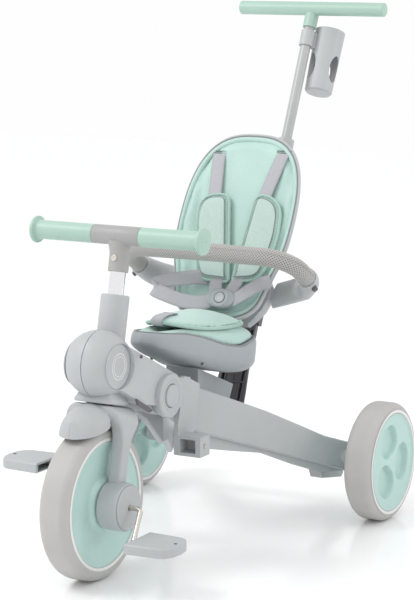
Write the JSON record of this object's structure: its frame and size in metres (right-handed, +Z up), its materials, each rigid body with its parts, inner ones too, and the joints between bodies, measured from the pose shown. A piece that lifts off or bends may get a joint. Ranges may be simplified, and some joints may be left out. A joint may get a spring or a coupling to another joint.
{
  "type": "children's folding push tricycle",
  "caption": "Folding child's tricycle with a steered, pedalled front wheel, disc wheels, padded saddle and backrest, harness, safety bar, push handle and cup holder.",
  "frame": {"origin": "on the floor, under the middle of the bounding box", "axes": "+Z up, the front wheel faces -Y, the tricycle's left side is +X"},
  "size_m": [0.5336, 0.914, 0.865],
  "materials": {
    "grey_plastic": "fine moulded grain, satin",
    "warm_grey_plastic": "satin",
    "dark_plastic": "matt",
    "mint_plastic": "satin",
    "mint_fabric": "soft padded cloth",
    "grey_foam": "diamond-woven sleeve",
    "tyre": "smooth foamed tread",
    "steel": "satin nickel",
    "chrome": "polished",
    "grey_paint": "satin powder coat"
  },
  "bodies": {
    "frame": {"head_shell_left": "grey_plastic", "head_shell_right": "grey_plastic", "head_cap_left": "grey_plastic", "head_cap_right": "grey_plastic", "head_tube": "grey_plastic", "fold_axle": "steel", "seat_base": "grey_plastic", "saddle_shell": "grey_plastic", "saddle_pad": "mint_fabric", "crotch_pad": "mint_fabric", "post_bracket": "dark_plastic", "post_tube": "grey_paint", "footrest_socket_left": "warm_grey_plastic", "footrest_socket_right": "warm_grey_plastic"},
    "fold_button_left": {"fold_button_left": "grey_plastic"},
    "fold_button_right": {"fold_button_right": "grey_plastic"},
    "latch_pin_left": {"latch_pin_left": "steel"},
    "latch_pin_right": {"latch_pin_right": "steel"},
    "rear_frame": {"arm_cover_left": "grey_plastic", "arm_cover_right": "grey_plastic", "arm_shell_left": "grey_plastic", "arm_shell_right": "grey_plastic", "rear_axle": "steel"},
    "brake": {"brake_pedal": "grey_plastic"},
    "rear_wheel_left": {"rear_left_tyre": "tyre", "rear_left_wheel_disc": "mint_plastic"},
    "rear_wheel_right": {"rear_right_tyre": "tyre", "rear_right_wheel_disc": "mint_plastic"},
    "steering": {"fork_left": "grey_plastic", "fork_right": "grey_plastic", "front_fender": "grey_plastic", "hub_cover_left": "grey_plastic", "hub_cover_right": "grey_plastic", "steerer_tube": "steel"},
    "front_wheel": {"front_tyre": "tyre", "front_wheel_disc": "mint_plastic", "crank": "steel"},
    "pedal_left": {"pedal_left": "warm_grey_plastic"},
    "pedal_right": {"pedal_right": "warm_grey_plastic"},
    "handlebars": {"stem_tube": "chrome", "stem_clamp": "grey_plastic", "handlebar": "grey_paint", "grip_left": "mint_plastic", "grip_right": "mint_plastic"},
    "stem_button": {"stem_button": "steel"},
    "push_handle": {"push_pole": "grey_paint", "push_grip": "mint_plastic"},
    "cup_holder": {"cup_holder": "warm_grey_plastic"},
    "seat_back": {"backrest_shell": "grey_plastic", "backrest_pad": "mint_fabric", "seat_carrier": "grey_plastic", "shoulder_pad_left": "mint_fabric", "shoulder_pad_right": "mint_fabric", "buckle": "grey_plastic", "safety_elbow_left": "grey_plastic", "safety_elbow_right": "grey_plastic"},
    "buckle_button": {"buckle_button": "grey_plastic"},
    "safety_bar": {"safety_bar": "grey_foam"},
    "safety_button_left": {"safety_button_left": "dark_plastic"},
    "safety_button_right": {"safety_button_right": "dark_plastic"}
  },
  "joints": [
    {"name": "steering", "type": "hinge", "parent": "frame", "child": "steering", "pos_m": [0, -0.33705, 0.12], "axis": [0, 0.2215, 0.9751], "range_deg": [-35, 35]},
    {"name": "handlebar_height", "type": "slide", "parent": "steering", "child": "handlebars", "axis": [0, 0.2215, 0.9751], "range_m": [-0.02, 0.05]},
    {"name": "stem_button_press", "type": "slide", "parent": "handlebars", "child": "stem_button", "axis": [0, 0.9751, -0.2215], "range_m": [0, 0.0012], "stiffness_N_per_m": 800, "springref_m": -0.0008},
    {"name": "front_wheel_spin", "type": "hinge", "parent": "steering", "child": "front_wheel", "pos_m": [0, -0.33705, 0.12], "axis": [1, 0, 0], "continuous": true},
    {"name": "pedal_left_spin", "type": "hinge", "parent": "front_wheel", "child": "pedal_left", "pos_m": [0.138, -0.37205, 0.078], "axis": [1, 0, 0], "continuous": true},
    {"name": "pedal_right_spin", "type": "hinge", "parent": "front_wheel", "child": "pedal_right", "pos_m": [-0.138, -0.30205, 0.162], "axis": [1, 0, 0], "continuous": true},
    {"name": "rear_fold", "type": "hinge", "parent": "frame", "child": "rear_frame", "pos_m": [0, -0.20605, 0.27], "axis": [-1, 0, 0], "range_deg": [0, 50]},
    {"name": "rear_wheel_left_spin", "type": "hinge", "parent": "rear_frame", "child": "rear_wheel_left", "pos_m": [0.2419, 0.19675, 0.1008], "axis": [1, 0, 0], "continuous": true},
    {"name": "rear_wheel_right_spin", "type": "hinge", "parent": "rear_frame", "child": "rear_wheel_right", "pos_m": [-0.2419, 0.19675, 0.1008], "axis": [1, 0, 0], "continuous": true},
    {"name": "brake_press", "type": "hinge", "parent": "rear_frame", "child": "brake", "pos_m": [0.1305, 0.16795, 0.1], "axis": [-1, 0, 0], "range_deg": [0, 14]},
    {"name": "fold_button_left_press", "type": "slide", "parent": "frame", "child": "fold_button_left", "axis": [-1, 0, 0], "range_m": [0, 0.002], "stiffness_N_per_m": 800, "springref_m": -0.001},
    {"name": "fold_button_right_press", "type": "slide", "parent": "frame", "child": "fold_button_right", "axis": [1, 0, 0], "range_m": [0, 0.002], "stiffness_N_per_m": 800, "springref_m": -0.001},
    {"name": "latch_pin_left_press", "type": "slide", "parent": "frame", "child": "latch_pin_left", "axis": [-1, 0, 0], "range_m": [0, 0.0035], "stiffness_N_per_m": 500, "springref_m": -0.001},
    {"name": "latch_pin_right_press", "type": "slide", "parent": "frame", "child": "latch_pin_right", "axis": [1, 0, 0], "range_m": [0, 0.0035], "stiffness_N_per_m": 500, "springref_m": -0.001},
    {"name": "push_handle_height", "type": "slide", "parent": "frame", "child": "push_handle", "axis": [0, 0.4163, 0.9092], "range_m": [-0.15, 0]},
    {"name": "cup_swivel", "type": "hinge", "parent": "push_handle", "child": "cup_holder", "pos_m": [0, 0.38553, 0.78737], "axis": [0, 0.4163, 0.9092], "range_deg": [-60, 90]},
    {"name": "backrest_recline", "type": "hinge", "parent": "frame", "child": "seat_back", "pos_m": [0, 0.16187, 0.38055], "axis": [1, 0, 0], "range_deg": [-10, 0]},
    {"name": "safety_bar_pull", "type": "slide", "parent": "seat_back", "child": "safety_bar", "axis": [0, -0.848, 0.5299], "range_m": [0, 0.02]},
    {"name": "safety_button_left_press", "type": "slide", "parent": "seat_back", "child": "safety_button_left", "axis": [-0.7071, 0.3747, 0.5997], "range_m": [0, 0.002], "stiffness_N_per_m": 500, "springref_m": -0.001},
    {"name": "safety_button_right_press", "type": "slide", "parent": "seat_back", "child": "safety_button_right", "axis": [0.7071, 0.3747, 0.5997], "range_m": [0, 0.002], "stiffness_N_per_m": 500, "springref_m": -0.001},
    {"name": "buckle_button_press", "type": "slide", "parent": "seat_back", "child": "buckle_button", "axis": [0, 0.8829, -0.4695], "range_m": [0, 0.0028], "stiffness_N_per_m": 500, "springref_m": -0.001}
  ]
}
